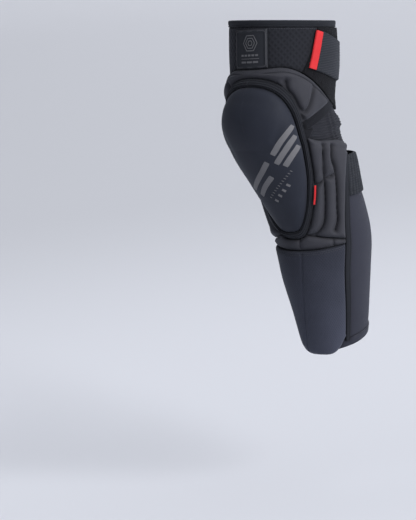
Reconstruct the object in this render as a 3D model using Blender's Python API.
"""Knee and shin guard for one left leg: a stretch tube with moulded pads sewn on it.

Metres, +Z up the thigh, -Y to the front of the knee, +X to the outer side of the leg.
The origin is the middle of the knee, inside the tube. Every piece is drawn on a sewing
pattern that wraps round the leg: an angle in degrees from the front, a height in metres,
and a lift off the leg's skin in metres.
"""

import math

import bmesh
import bpy
import numpy as np

# The leg that fills the tube
THIGH_REACH = 0.172
SHIN_REACH = 0.302
LEG_WIDTH = 0.138
LEG_DEPTH = 0.135
SHIN_SETBACK = 0.049
CALF_SWAY = 0.007
PATTERN_RADIUS = 0.078

# Station: share of THIGH_REACH above the knee, or of SHIN_REACH below it.
# Width and depth: shares of LEG_WIDTH and LEG_DEPTH. Setback and sway: shares of theirs.
LEG_COLUMNS = ("station", "width", "depth", "setback", "sway")
LEG_ROWS = (
    (1.00, 1.00, 1.01, -0.03, 0.0),
    (0.57, 1.00, 1.03, -0.20, -0.1),
    (0.29, 0.96, 0.96, -0.34, -0.2),
    (0.00, 0.90, 0.96, -0.05, 0.0),
    (-0.16, 0.89, 0.93, 0.35, 0.4),
    (-0.33, 0.90, 0.95, 0.67, 0.9),
    (-0.48, 0.88, 0.91, 0.85, 1.1),
    (-0.63, 0.81, 0.83, 0.89, 0.9),
    (-0.81, 0.69, 0.69, 0.98, 0.7),
    (-1.00, 0.55, 0.55, 1.01, 0.6),
)

# Walls and clearances
SEAT_GAP = 0.00095
SEAM_GAP = 0.0007
CUFF_WALL = 0.003
GUSSET_WALL = 0.002
CALF_WALL = 0.002

# Top hem, cuff and the seam below the cuff
HEM_DROP = 0.017
HEM_TURN = -20.0
TOP_HEM_HEIGHT = 0.009
TOP_HEM_WALL = 0.0045
SEAM_FRONT = 0.107
SEAM_BACK = 0.036
SEAM_MIDDLE = 6.0
SEAM_TURN = (25.0, 125.0)

# Calf sleeve and its hem
SLEEVE_TOP = -0.046
SLEEVE_SHORT = 0.005
SLEEVE_RISE = 0.022
CALF_HEM_HEIGHT = 0.012
CALF_HEM_WALL = 0.0030

# Knee cap, an egg with its wide end up, and the rim sewn round it
CAP_MIDDLE = -0.0185
CAP_HEIGHT = 0.205
CAP_HALF_ANGLE = 43.0
CAP_TAPER = 0.40
CAP_SQUARENESS = (0.92, 0.55)
CAP_LEAN = 3.0
CAP_EDGE_LIFT = 0.010
CAP_RISE = 0.024
CAP_FULLNESS = 3.2
RIM_WIDTH = 0.011
RIM_LIFT = 0.0125

# Across the rim from the cap outwards: share of its width, and share of RIM_LIFT there.
RIM_ROWS = ((0.0, 0.84), (0.3, 1.0), (0.65, 0.86), (1.0, 0.56))

# Height up the cap, from -1 at its bottom to 1 at its top, and the share of CAP_RISE there.
CREST_COLUMNS = ("height", "rise")
CREST_ROWS = (
    (1.00, 0.72),
    (0.60, 1.00),
    (0.25, 1.00),
    (-0.20, 0.93),
    (-0.55, 0.70),
    (-0.85, 0.42),
    (-1.00, 0.34),
)

# Moulded foam: the pad over the cap, the ribbed sides and the band under the cap
FOAM_EDGE_LIFT = 0.0055
POD_RISE = 0.0050
RIB_RISE = 0.0060
BAND_RISE = 0.0055
TOP_PAD_REACH = 108.0
TOP_PAD_TURN = 71.5
SIDE_PANEL_TURNS = (75.5, 162.0)
SIDE_PANEL_TOP = -0.008
SIDE_PANEL_BOTTOM = -0.137
BAND_BOTTOM = -0.149
BAND_SIDE_RISE = 0.006

# Along the side panel's top edge: share of the way back, and share of its fall.
PANEL_TOP_COLUMNS = ("across", "fall")
PANEL_TOP_ROWS = ((0.0, 0.0), (0.22, 0.38), (0.5, 0.52), (0.8, 0.68), (1.0, 1.0))

# Rear edge of the side panel and shin pad: share of SHIN_REACH down, and the angle there.
EDGE_COLUMNS = ("down", "angle")
EDGE_ROWS = (
    (0.04, 110.0),
    (0.12, 92.0),
    (0.19, 81.0),
    (0.28, 70.5),
    (0.37, 63.0),
    (0.51, 57.0),
    (0.75, 53.0),
    (1.00, 48.0),
)

# Ribs of the side panel: where each ends, as a share across the panel at its top and
# at its bottom, the share down the panel where it is pinched (0: not pinched), and the
# number of lines drawn down it.
RIB_COLUMNS = ("top_end", "bottom_end", "pinch", "cuts")
RIB_ROWS = ((0.25, 0.28, 0.46, 3), (0.44, 0.59, 0.37, 3), (1.00, 1.00, 0.0, 5))

# Pods of the top pad: angle, share of the way from rim to seam, spread both ways, and
# share of POD_RISE.
POD_ROWS = ((0.0, 0.5, 24.0, 0.60, 0.55), (47.0, 0.45, 13.0, 0.55, 1.0), (80.0, 0.50, 14.0, 0.60, 0.7))

# Shin pad
SHIN_PAD_LIFT = 0.0145
SHIN_PAD_EDGE = 0.0055
SHIN_CORNER = 0.026

# Edge binding behind the pads
BINDING_WIDTH = 0.0120
BINDING_LIFT = 0.0045
BINDING_TOP = -0.014
BINDING_SHORT = 0.018

# Straps, loop panel, badge and labels
LOOP_PANEL_WALL = 0.0012
LOOP_PANEL_FRONT = (76.0, 56.0)
LOOP_PANEL_BACK = 150.0
UPPER_STRAP_WIDTH = 0.050
UPPER_STRAP_WALL = 0.0020
UPPER_STRAP_SPAN = (76.0, 238.0)
UPPER_STRAP_LEAN = 0.27
CALF_STRAP_WIDTH = 0.054
CALF_STRAP_WALL = 0.0022
CALF_STRAP_HEIGHT = -0.053
CALF_STRAP_STANDOFF = 0.009
BADGE_WIDTH = 0.054
BADGE_HEIGHT = 0.052
BADGE_WALL = 0.0028
STRAP_LABEL_WIDTH = 0.011
STRAP_LABEL_LENGTH = 0.053
SIDE_LABEL_TURNS = (110.0, 125.0)
SIDE_LABEL_REACH = 0.0027
SIDE_LABEL_SINK = 0.0004
LABEL_WALL = 0.0010

# Upper strap: angle, and the height of the strap's middle there.
STRAP_COLUMNS = ("angle", "height")
STRAP_ROWS = ((60.0, 0.130), (76.0, 0.122), (106.0, 0.107), (140.0, 0.099), (190.0, 0.089), (240.0, 0.080))

# Steps of the grids, so that pieces that touch are cut alike
TUBE_SIDES = 40
TUBE_STEP = 0.025
ROUND_STEP = 9.0


def clear_scene():
    for thing in list(bpy.data.objects):
        bpy.data.objects.remove(thing)


def finish_of(name, colour, roughness):
    made = bpy.data.materials.new(name)
    made.use_nodes = True
    shader = made.node_tree.nodes["Principled BSDF"]
    shader.inputs["Base Color"].default_value = (*colour, 1.0)
    shader.inputs["Roughness"].default_value = roughness
    return made


def smooth_step(low, high, value):
    share = np.clip((np.asarray(value, float) - low) / (high - low), 0.0, 1.0)
    return share * share * (3 - 2 * share)


def read_table(rows, columns, wanted, at):
    """A smooth curve through one column of a table, read at values of its first column."""
    ordered = sorted(rows)
    knots = np.array([row[0] for row in ordered])
    values = np.array([row[columns.index(wanted)] for row in ordered])
    at = np.clip(np.asarray(at, float), knots[0], knots[-1])
    slopes = np.gradient(values, knots)
    index = np.clip(np.searchsorted(knots, at) - 1, 0, len(knots) - 2)
    gap = knots[index + 1] - knots[index]
    t = (at - knots[index]) / gap
    return (
        (2 * t**3 - 3 * t**2 + 1) * values[index]
        + (t**3 - 2 * t**2 + t) * gap * slopes[index]
        + (3 * t**2 - 2 * t**3) * values[index + 1]
        + (t**3 - t**2) * gap * slopes[index + 1]
    )


def on_leg(angle, height, lift):
    """World points for pattern points: degrees from the front, metres up, metres off the skin."""
    angle, height, lift = np.broadcast_arrays(angle, height, lift)
    turn = np.radians(np.asarray(angle, float))
    station = np.where(height >= 0, height / THIGH_REACH, height / SHIN_REACH)
    column = {name: read_table(LEG_ROWS, LEG_COLUMNS, name, station) for name in LEG_COLUMNS[1:]}
    half_width = column["width"] * LEG_WIDTH / 2
    half_depth = column["depth"] * LEG_DEPTH / 2
    out_x = np.sin(turn) / half_width
    out_y = -np.cos(turn) / half_depth
    length = np.hypot(out_x, out_y)
    x = column["sway"] * CALF_SWAY + half_width * np.sin(turn) + lift * out_x / length
    y = column["setback"] * SHIN_SETBACK - half_depth * np.cos(turn) + lift * out_y / length
    return np.stack([x, y, height], axis=-1)


def angle_of(width):
    """Degrees round the pattern that a width in metres takes up."""
    return math.degrees(width / PATTERN_RADIUS)


# The lines of the pattern


def top_line(angle):
    return THIGH_REACH - HEM_DROP * (1 - np.cos(np.radians(angle - HEM_TURN))) / 2


def seam_line(angle):
    away = np.abs((np.asarray(angle, float) - SEAM_MIDDLE + 180) % 360 - 180)
    return SEAM_FRONT - (SEAM_FRONT - SEAM_BACK) * smooth_step(*SEAM_TURN, away)


def sleeve_bottom_line(angle):
    return -SHIN_REACH + SLEEVE_SHORT + SLEEVE_RISE * (1 - np.cos(np.radians(angle))) / 2


def egg(turn, margin):
    """Outline of the knee cap, turn degrees round it from its top, grown by a margin."""
    turn = np.radians(np.asarray(turn, float))
    power = np.where(np.cos(turn) > 0, *CAP_SQUARENESS)
    across = np.sign(np.sin(turn)) * np.abs(np.sin(turn)) ** power
    angle = (CAP_HALF_ANGLE + angle_of(margin)) * across * (1 + CAP_TAPER * np.cos(turn))
    height = CAP_MIDDLE + (CAP_HEIGHT / 2 + margin) * np.cos(turn)
    return angle - CAP_LEAN * (1 - np.cos(turn)) / 2, height


def pad_edge(height):
    """Angle of the rear edge of the side panel and shin pad at a height."""
    return read_table(EDGE_ROWS, EDGE_COLUMNS, "angle", -np.asarray(height, float) / SHIN_REACH)


def band_bottom(share):
    """The seam between the band and the shin pad, share from -1 inside to 1 outside."""
    height = BAND_BOTTOM + BAND_SIDE_RISE * share**2
    return share * float(pad_edge(height)), height


def between(start, end, share):
    return start + (end - start) * share


def four_sided(top, bottom, left, right):
    """Fills four pattern curves that share corners: place(across, down) gives angle and height."""

    def place(across, down):
        corners = [np.array(top(0.0)), np.array(top(1.0)), np.array(bottom(0.0)), np.array(bottom(1.0))]
        sides = (1 - across) * np.array(left(down)) + across * np.array(right(down))
        ends = (1 - down) * np.array(top(across)) + down * np.array(bottom(across))
        flat = (1 - down) * ((1 - across) * corners[0] + across * corners[1])
        flat = flat + down * ((1 - across) * corners[2] + across * corners[3])
        return sides + ends - flat

    return place


# Closed solids from grids of points


def add_object(name, mesh_data, finish):
    mesh = bpy.data.meshes.new(name)
    mesh_data.normal_update()
    mesh_data.to_mesh(mesh)
    mesh_data.free()
    mesh.shade_smooth()
    mesh.set_sharp_from_angle(angle=math.radians(50))
    mesh.materials.append(finish)
    made = bpy.data.objects.new(name, mesh)
    bpy.context.scene.collection.objects.link(made)
    return made


def solid_sheet(name, outer, inner, finish, wraps=False):
    """A closed solid between two grids of points, rows by columns. wraps joins the last
    column to the first, as round a tube."""
    rows, columns = outer.shape[:2]
    work = bmesh.new()
    front = [[work.verts.new(point) for point in row] for row in outer]
    back = [[work.verts.new(point) for point in row] for row in inner]
    last = columns if wraps else columns - 1
    for r in range(rows - 1):
        for c in range(last):
            d = (c + 1) % columns
            work.faces.new((front[r][c], front[r + 1][c], front[r + 1][d], front[r][d]))
            work.faces.new((back[r][c], back[r][d], back[r + 1][d], back[r + 1][c]))
    for c in range(last):
        d = (c + 1) % columns
        work.faces.new((front[0][c], front[0][d], back[0][d], back[0][c]))
        work.faces.new((front[-1][c], back[-1][c], back[-1][d], front[-1][d]))
    if not wraps:
        for r in range(rows - 1):
            work.faces.new((front[r][0], back[r][0], back[r + 1][0], front[r + 1][0]))
            work.faces.new((front[r][-1], front[r + 1][-1], back[r + 1][-1], back[r][-1]))
    bmesh.ops.recalc_face_normals(work, faces=work.faces[:])
    return add_object(name, work, finish)


def panel(name, place, across, down, under, over, finish):
    """A four-sided pad. across and down are lists of shares; over(across, down, angle,
    height) is the lift of its outer face, and under that of its seat."""
    a, d = np.meshgrid(across, down)
    spots = np.array([[place(x, y) for x, y in zip(ar, dr)] for ar, dr in zip(a, d)])
    angle, height = spots[..., 0], spots[..., 1]
    outer = on_leg(angle, height, over(a, d, angle, height))
    inner = on_leg(angle, height, under)
    return solid_sheet(name, outer, inner, finish)


def tube(name, top, bottom, inner_lift, outer_lift, finish):
    angles = np.arange(TUBE_SIDES) * 360.0 / TUBE_SIDES
    span = float(np.max(top(angles) - bottom(angles)))
    steps = max(1, math.ceil(span / TUBE_STEP))
    shares = np.linspace(0, 1, steps + 1)[:, None]
    height = top(angles) + (bottom(angles) - top(angles)) * shares
    outer = on_leg(angles, height, outer_lift)
    inner = on_leg(angles, height, inner_lift)
    return solid_sheet(name, outer, inner, finish, wraps=True)


def rounded(share, edge=0.12):
    """0 at both ends of a share from 0 to 1, and 1 in its middle, with round shoulders."""
    inside = np.clip(np.minimum(share, 1 - share) / edge, 0, 1)
    return np.sqrt(1 - (1 - inside) ** 2)


# The pieces


def thigh_cuff(finish):
    return tube(
        "thigh_cuff",
        lambda angle: top_line(angle) - TOP_HEM_HEIGHT - SEAM_GAP,
        seam_line,
        0.0,
        CUFF_WALL,
        finish,
    )


def top_hem(finish):
    return tube("top_hem", top_line, lambda angle: top_line(angle) - TOP_HEM_HEIGHT, 0.0, TOP_HEM_WALL, finish)


def knee_gusset(finish):
    return tube(
        "knee_gusset",
        lambda angle: seam_line(angle) - SEAM_GAP,
        lambda angle: SLEEVE_TOP + 0 * angle,
        0.0,
        GUSSET_WALL,
        finish,
    )


def calf_sleeve(finish):
    return tube(
        "calf_sleeve",
        lambda angle: SLEEVE_TOP - SEAM_GAP + 0 * angle,
        lambda angle: sleeve_bottom_line(angle) + CALF_HEM_HEIGHT + SEAM_GAP,
        0.0,
        CALF_WALL,
        finish,
    )


def calf_hem(finish):
    """The folded hem, as thick as the sleeve in front, where the shin pad covers it."""
    angles = np.arange(TUBE_SIDES) * 360.0 / TUBE_SIDES
    away = np.abs((angles + 180) % 360 - 180)
    edge = pad_edge(-SHIN_REACH) + angle_of(BINDING_WIDTH + 2 * SEAM_GAP)
    wall = CALF_WALL + (CALF_HEM_WALL - CALF_WALL) * smooth_step(edge, edge + 360.0 / TUBE_SIDES, away)
    return tube(
        "calf_hem",
        lambda angle: sleeve_bottom_line(angle) + CALF_HEM_HEIGHT,
        sleeve_bottom_line,
        0.0,
        wall,
        finish,
    )


def cap_lift(reach, turn):
    """Lift of the cap's face, reach from 0 at its middle to 1 at its edge."""
    height = reach * np.cos(np.radians(turn))
    crest = read_table(CREST_ROWS, CREST_COLUMNS, "rise", height)
    return CAP_EDGE_LIFT + CAP_RISE * crest * (1 - reach**CAP_FULLNESS) ** 0.55


def knee_cap(finish):
    """A domed pad: rings of points round its middle, closed with a point at each middle."""
    turns = np.arange(0, 360, ROUND_STEP)
    work = bmesh.new()
    faces = []
    for reaches, seat in (((0.18, 0.36, 0.54, 0.70, 0.83, 0.93, 1.0), None), ((0.2, 0.4, 0.6, 0.8, 1.0), 0.0)):
        rings = []
        for reach in reaches:
            angle, edge_height = egg(turns, 0.0)
            height = CAP_MIDDLE + (edge_height - CAP_MIDDLE) * reach
            lift = cap_lift(reach, turns) if seat is None else GUSSET_WALL + SEAT_GAP
            rings.append([work.verts.new(point) for point in on_leg(angle * reach, height, lift)])
        lift = cap_lift(0.0, 0.0) if seat is None else GUSSET_WALL + SEAT_GAP
        middle = work.verts.new(on_leg(0.0, CAP_MIDDLE, lift))
        for c in range(len(turns)):
            d = (c + 1) % len(turns)
            work.faces.new((middle, rings[0][c], rings[0][d]))
            for near, far in zip(rings, rings[1:]):
                work.faces.new((near[c], far[c], far[d], near[d]))
        faces.append(rings[-1])
    for c in range(len(turns)):
        d = (c + 1) % len(turns)
        work.faces.new((faces[0][c], faces[1][c], faces[1][d], faces[0][d]))
    bmesh.ops.recalc_face_normals(work, faces=work.faces[:])
    return add_object("knee_cap", work, finish)


def cap_rim(finish):
    """The folded rim: a low round section swept round the cap's outline."""
    turns = np.arange(0, 360, ROUND_STEP)
    outer, inner = [], []
    for across, share in RIM_ROWS:
        margin = between(SEAM_GAP, RIM_WIDTH - SEAM_GAP, across)
        angle, height = egg(turns, margin)
        outer.append(on_leg(angle, height, RIM_LIFT * share))
        inner.append(on_leg(angle, height, GUSSET_WALL + SEAT_GAP))
    return solid_sheet("cap_rim", np.array(outer), np.array(inner), finish, wraps=True)


def pod_lift(across, down, angle, height):
    pods = np.zeros_like(angle)
    for centre, out, angle_spread, out_spread, rise in POD_ROWS:
        away = ((np.abs(angle) - centre) / angle_spread) ** 2 + ((across - out) / out_spread) ** 2
        pods = np.maximum(pods, rise * np.clip(1 - away, 0, 1) ** 0.5)
    edge = rounded(across, 0.15) * rounded(down, 0.05)
    return CUFF_WALL + SEAT_GAP + (FOAM_EDGE_LIFT - CUFF_WALL - SEAT_GAP) * edge + POD_RISE * pods * edge


def top_pad(finish):
    """The arch of foam over the cap, with a pod on each side, from the rim to the cuff seam."""

    def rim_side(share):
        return egg(between(-TOP_PAD_TURN, TOP_PAD_TURN, share), RIM_WIDTH)

    def seam_side(share):
        angle = between(-TOP_PAD_REACH, TOP_PAD_REACH, share)
        return angle, seam_line(angle) - SEAM_GAP

    place = four_sided(
        lambda across: between(np.array(rim_side(0.0)), np.array(seam_side(0.0)), across),
        lambda across: between(np.array(rim_side(1.0)), np.array(seam_side(1.0)), across),
        rim_side,
        seam_side,
    )
    across = (0.0, 0.08, 0.25, 0.45, 0.65, 0.85, 1.0)
    down = np.linspace(0, 1, round(2 * TOP_PAD_REACH * TUBE_SIDES / 360) + 1)
    return panel("top_pad", place, across, down, GUSSET_WALL + SEAT_GAP, pod_lift, finish)


def rib_ends(down):
    """Shares across the side panel where its ribs start and end, at one share down it."""
    turn = smooth_step(0.12, 0.42, down)
    ends = [row[0] + (row[1] - row[0]) * turn for row in RIB_ROWS]
    return [0.0] + ends


def rib_lift(across, down):
    ends = rib_ends(down)
    for (near, far), row in zip(zip(ends, ends[1:]), RIB_ROWS):
        if across <= far:
            break
    share = (across - near) / (far - near)
    pinch = row[RIB_COLUMNS.index("pinch")]
    height = rounded(share, 0.30) * rounded(down, 0.06)
    if pinch and abs(down - pinch) < 0.01:
        height = height * 0.25
    return FOAM_EDGE_LIFT + RIB_RISE * height


def side_panel(name, side, finish):
    """The ribbed foam beside the cap. side is 1 on the outer side of the leg and -1 inside."""

    def rim_side(share):
        angle, height = egg(side * between(*SIDE_PANEL_TURNS, share), RIM_WIDTH)
        return side * angle, height

    def rear_side(share):
        height = between(SIDE_PANEL_TOP, SIDE_PANEL_BOTTOM, share)
        return pad_edge(height), height

    def top_side(across):
        fall = read_table(PANEL_TOP_ROWS, PANEL_TOP_COLUMNS, "fall", across)
        start, end = rim_side(0.0), rear_side(0.0)
        return between(start[0], end[0], across), between(start[1], end[1], fall)

    def bottom_side(across):
        start, end = np.array(rim_side(1.0)), np.array(rear_side(1.0))
        return between(start, end, across)

    place = four_sided(top_side, bottom_side, rim_side, rear_side)
    downs = (0.0, 0.05, 0.14, 0.26, 0.37, 0.46, 0.56, 0.67, 0.78, 0.88, 0.96, 1.0)
    outer, inner = [], []
    for down in downs:
        ends = rib_ends(down)
        shares = [0.0]
        for near, far, row in zip(ends, ends[1:], RIB_ROWS):
            shares += list(between(near, far, np.linspace(0.14, 0.86, row[-1]))) + [far]
        spots = np.array([place(across, down) for across in shares])
        lifts = np.array([rib_lift(across, down) for across in shares])
        outer.append(on_leg(side * spots[:, 0], spots[:, 1], lifts))
        inner.append(on_leg(side * spots[:, 0], spots[:, 1], GUSSET_WALL + SEAT_GAP))
    return solid_sheet(name, np.array(outer), np.array(inner), finish)


def lower_band(finish):
    """The band of foam under the cap, from one side panel to the other."""
    end_angle = float(pad_edge(SIDE_PANEL_BOTTOM))
    rim_angles, rim_heights = egg(np.linspace(360 - SIDE_PANEL_TURNS[1], SIDE_PANEL_TURNS[1], 9), RIM_WIDTH)
    top_angles = np.concatenate([[-end_angle], rim_angles, [end_angle]])
    top_heights = np.concatenate([[SIDE_PANEL_BOTTOM], rim_heights, [SIDE_PANEL_BOTTOM]]) - SEAM_GAP

    def place(across, down):
        share = 2 * across - 1
        top = np.interp(share * end_angle, top_angles, top_heights)
        height = between(top, band_bottom(share)[1], down)
        return share * float(pad_edge(height)), height

    def over(across, down, angle, height):
        return FOAM_EDGE_LIFT + BAND_RISE * rounded(down, 0.3) * rounded(across, 0.05)

    across = np.concatenate([[0.0, 0.03], np.linspace(0.08, 0.92, 19), [0.97, 1.0]])
    down = (0.0, 0.2, 0.5, 0.8, 1.0)
    return panel("lower_band", place, across, down, CALF_WALL + SEAT_GAP, over, finish)


def shin_pad(finish):
    """The long pad down the shin, thick along its middle, with a round lower end."""

    def place(across, down):
        share = 2 * across - 1
        top = band_bottom(share)[1] - SEAM_GAP
        bottom = -SHIN_REACH + SHIN_CORNER * abs(share) ** 4
        height = between(top, bottom, down)
        return share * float(pad_edge(height)), height

    def over(across, down, angle, height):
        crown = rounded(across, 0.42) * rounded(np.clip(down, 0.5, 1.0), 0.10)
        top_roll = 0.80 + 0.20 * np.clip(down / 0.08, 0, 1)
        return SHIN_PAD_EDGE + (SHIN_PAD_LIFT - SHIN_PAD_EDGE) * crown * top_roll

    across = np.concatenate([[0.0, 0.03, 0.09], np.linspace(0.18, 0.82, 8), [0.91, 0.97, 1.0]])
    down = np.concatenate([[0.0, 0.04], np.linspace(0.14, 0.86, 8), [0.94, 0.98, 1.0]])
    return panel("shin_pad", place, across, down, CALF_WALL + SEAT_GAP, over, finish)


def edge_binding(name, side, finish):
    """The tape along the rear edge of the side panel and shin pad."""
    heights = np.linspace(BINDING_TOP, BINDING_SHORT - SHIN_REACH, 22)
    near = pad_edge(heights) + angle_of(SEAM_GAP)
    profile = ((0.0, 0.8), (0.3, 1.0), (0.7, 1.0), (1.0, 0.8))
    shares = np.array([row[0] for row in profile])
    lifts = BINDING_LIFT * np.array([row[1] for row in profile])
    angles = side * (near[:, None] + angle_of(BINDING_WIDTH) * shares)
    outer = on_leg(angles, heights[:, None], lifts)
    inner = on_leg(angles, heights[:, None], GUSSET_WALL + SEAT_GAP)
    return solid_sheet(name, outer, inner, finish)


def loop_panel(finish):
    """The plush panel on the outer side of the cuff that the strap fastens to."""
    top = float(top_line(LOOP_PANEL_FRONT[0])) - TOP_HEM_HEIGHT - SEAM_GAP

    def place(across, down):
        front = between(LOOP_PANEL_FRONT[0], LOOP_PANEL_FRONT[1], down)
        angle = between(front, LOOP_PANEL_BACK, across)
        high = min(top, float(top_line(angle)) - TOP_HEM_HEIGHT - SEAM_GAP)
        return angle, between(high, float(seam_line(angle)), down)

    def over(across, down, angle, height):
        return CUFF_WALL + SEAT_GAP + LOOP_PANEL_WALL + 0 * angle

    return panel(
        "loop_panel",
        place,
        np.linspace(0, 1, 14),
        np.linspace(0, 1, 7),
        CUFF_WALL + SEAT_GAP,
        over,
        finish,
    )


def strap_height(angle):
    return read_table(STRAP_ROWS, STRAP_COLUMNS, "height", angle)


def upper_strap_seat():
    return CUFF_WALL + LOOP_PANEL_WALL + 2 * SEAT_GAP


def upper_strap(finish):
    """The elastic strap round the back of the thigh, sewn inside and fastened outside."""

    def place(across, down):
        angle = between(*UPPER_STRAP_SPAN, across)
        lean = angle_of(UPPER_STRAP_WIDTH) * UPPER_STRAP_LEAN * (1 - across) * (0.5 - down)
        return angle + lean, strap_height(angle) + UPPER_STRAP_WIDTH * (0.5 - down)

    def over(across, down, angle, height):
        return upper_strap_seat() + UPPER_STRAP_WALL + 0 * angle

    return panel(
        "upper_strap",
        place,
        np.linspace(0, 1, 29),
        (0.0, 0.5, 1.0),
        upper_strap_seat(),
        over,
        finish,
    )


def strap_label(finish):
    """The bare woven label folded over the free end of the upper strap."""
    end = UPPER_STRAP_SPAN[0]
    width = angle_of(STRAP_LABEL_WIDTH)

    def place(across, down):
        angle = end - angle_of(SEAM_GAP) - width * (1 - across)
        lean = angle_of(UPPER_STRAP_WIDTH) * UPPER_STRAP_LEAN * (0.5 - down)
        return angle + lean, strap_height(angle) + STRAP_LABEL_LENGTH * (0.5 - down)

    def over(across, down, angle, height):
        return upper_strap_seat() + UPPER_STRAP_WALL + 0 * angle

    return panel("strap_label", place, (0.0, 0.5, 1.0), (0.0, 0.33, 0.67, 1.0), upper_strap_seat(), over, finish)


def badge(finish):
    """The moulded rubber badge on the front of the cuff, left bare."""
    reach = angle_of(BADGE_WIDTH) / 2
    bottom = SEAM_FRONT + SEAM_GAP

    def place(across, down):
        return between(-reach, reach, across), between(bottom + BADGE_HEIGHT, bottom, down)

    def over(across, down, angle, height):
        return CUFF_WALL + SEAT_GAP + BADGE_WALL * (0.6 + 0.4 * rounded(across, 0.1) * rounded(down, 0.1))

    across = (0.0, 0.05, 0.2, 0.4, 0.6, 0.8, 0.95, 1.0)
    down = (0.0, 0.05, 0.25, 0.5, 0.75, 0.95, 1.0)
    return panel("badge", place, across, down, CUFF_WALL + SEAT_GAP, over, finish)


def side_label(finish):
    """The small bare label sewn into the rim, lying over the first rib of the outer side."""
    seat = FOAM_EDGE_LIFT + RIB_RISE - SIDE_LABEL_SINK

    def place(across, down):
        angle, height = egg(between(*SIDE_LABEL_TURNS, down), RIM_WIDTH)
        return angle + angle_of(SIDE_LABEL_REACH) * across, height

    def over(across, down, angle, height):
        return seat + LABEL_WALL + 0 * angle

    return panel("side_label", place, (0.0, 0.5, 1.0), (0.0, 0.33, 0.67, 1.0), seat, over, finish)


def calf_strap(finish):
    """The wide elastic strap behind the top of the calf, standing off the leg at its top."""

    def place(across, down):
        height = CALF_STRAP_HEIGHT + CALF_STRAP_WIDTH * (0.5 - down)
        start = float(pad_edge(height)) + angle_of(BINDING_WIDTH + 2 * SEAM_GAP)
        return between(start, 360.0 - start, across), height

    def seat(across, down):
        stand = CALF_STRAP_STANDOFF * smooth_step(0.0, 0.2, np.minimum(across, 1 - across)) * (1 - down)
        return CALF_WALL + SEAT_GAP + stand

    def over(across, down, angle, height):
        return seat(across, down) + CALF_STRAP_WALL

    across, down = np.linspace(0, 1, 23), np.array((0.0, 0.33, 0.67, 1.0))
    a, d = np.meshgrid(across, down)
    return panel("calf_strap", place, across, down, seat(a, d), over, finish)


def build():
    clear_scene()
    knit = finish_of("cuff_knit", (0.020, 0.021, 0.026), 0.85)
    loop = finish_of("loop_plush", (0.012, 0.012, 0.015), 0.95)
    webbing = finish_of("strap_webbing", (0.035, 0.037, 0.043), 0.80)
    mesh = finish_of("gusset_mesh", (0.028, 0.030, 0.036), 0.85)
    lycra = finish_of("calf_stretch", (0.045, 0.046, 0.062), 0.75)
    foam = finish_of("moulded_foam", (0.050, 0.051, 0.060), 0.70)
    cover = finish_of("cap_cover", (0.019, 0.021, 0.030), 0.65)
    shin = finish_of("shin_fabric", (0.036, 0.038, 0.048), 0.70)
    tape = finish_of("binding_tape", (0.016, 0.017, 0.021), 0.80)
    rubber = finish_of("badge_rubber", (0.020, 0.021, 0.025), 0.55)
    red = finish_of("label_red", (0.60, 0.030, 0.035), 0.70)

    thigh_cuff(knit)
    top_hem(tape)
    knee_gusset(mesh)
    calf_sleeve(lycra)
    calf_hem(lycra)
    knee_cap(cover)
    cap_rim(tape)
    top_pad(foam)
    side_panel("side_panel_outer", 1, foam)
    side_panel("side_panel_inner", -1, foam)
    lower_band(foam)
    shin_pad(shin)
    edge_binding("edge_binding_outer", 1, tape)
    edge_binding("edge_binding_inner", -1, tape)
    loop_panel(loop)
    upper_strap(webbing)
    strap_label(red)
    badge(rubber)
    side_label(red)
    calf_strap(webbing)


build()
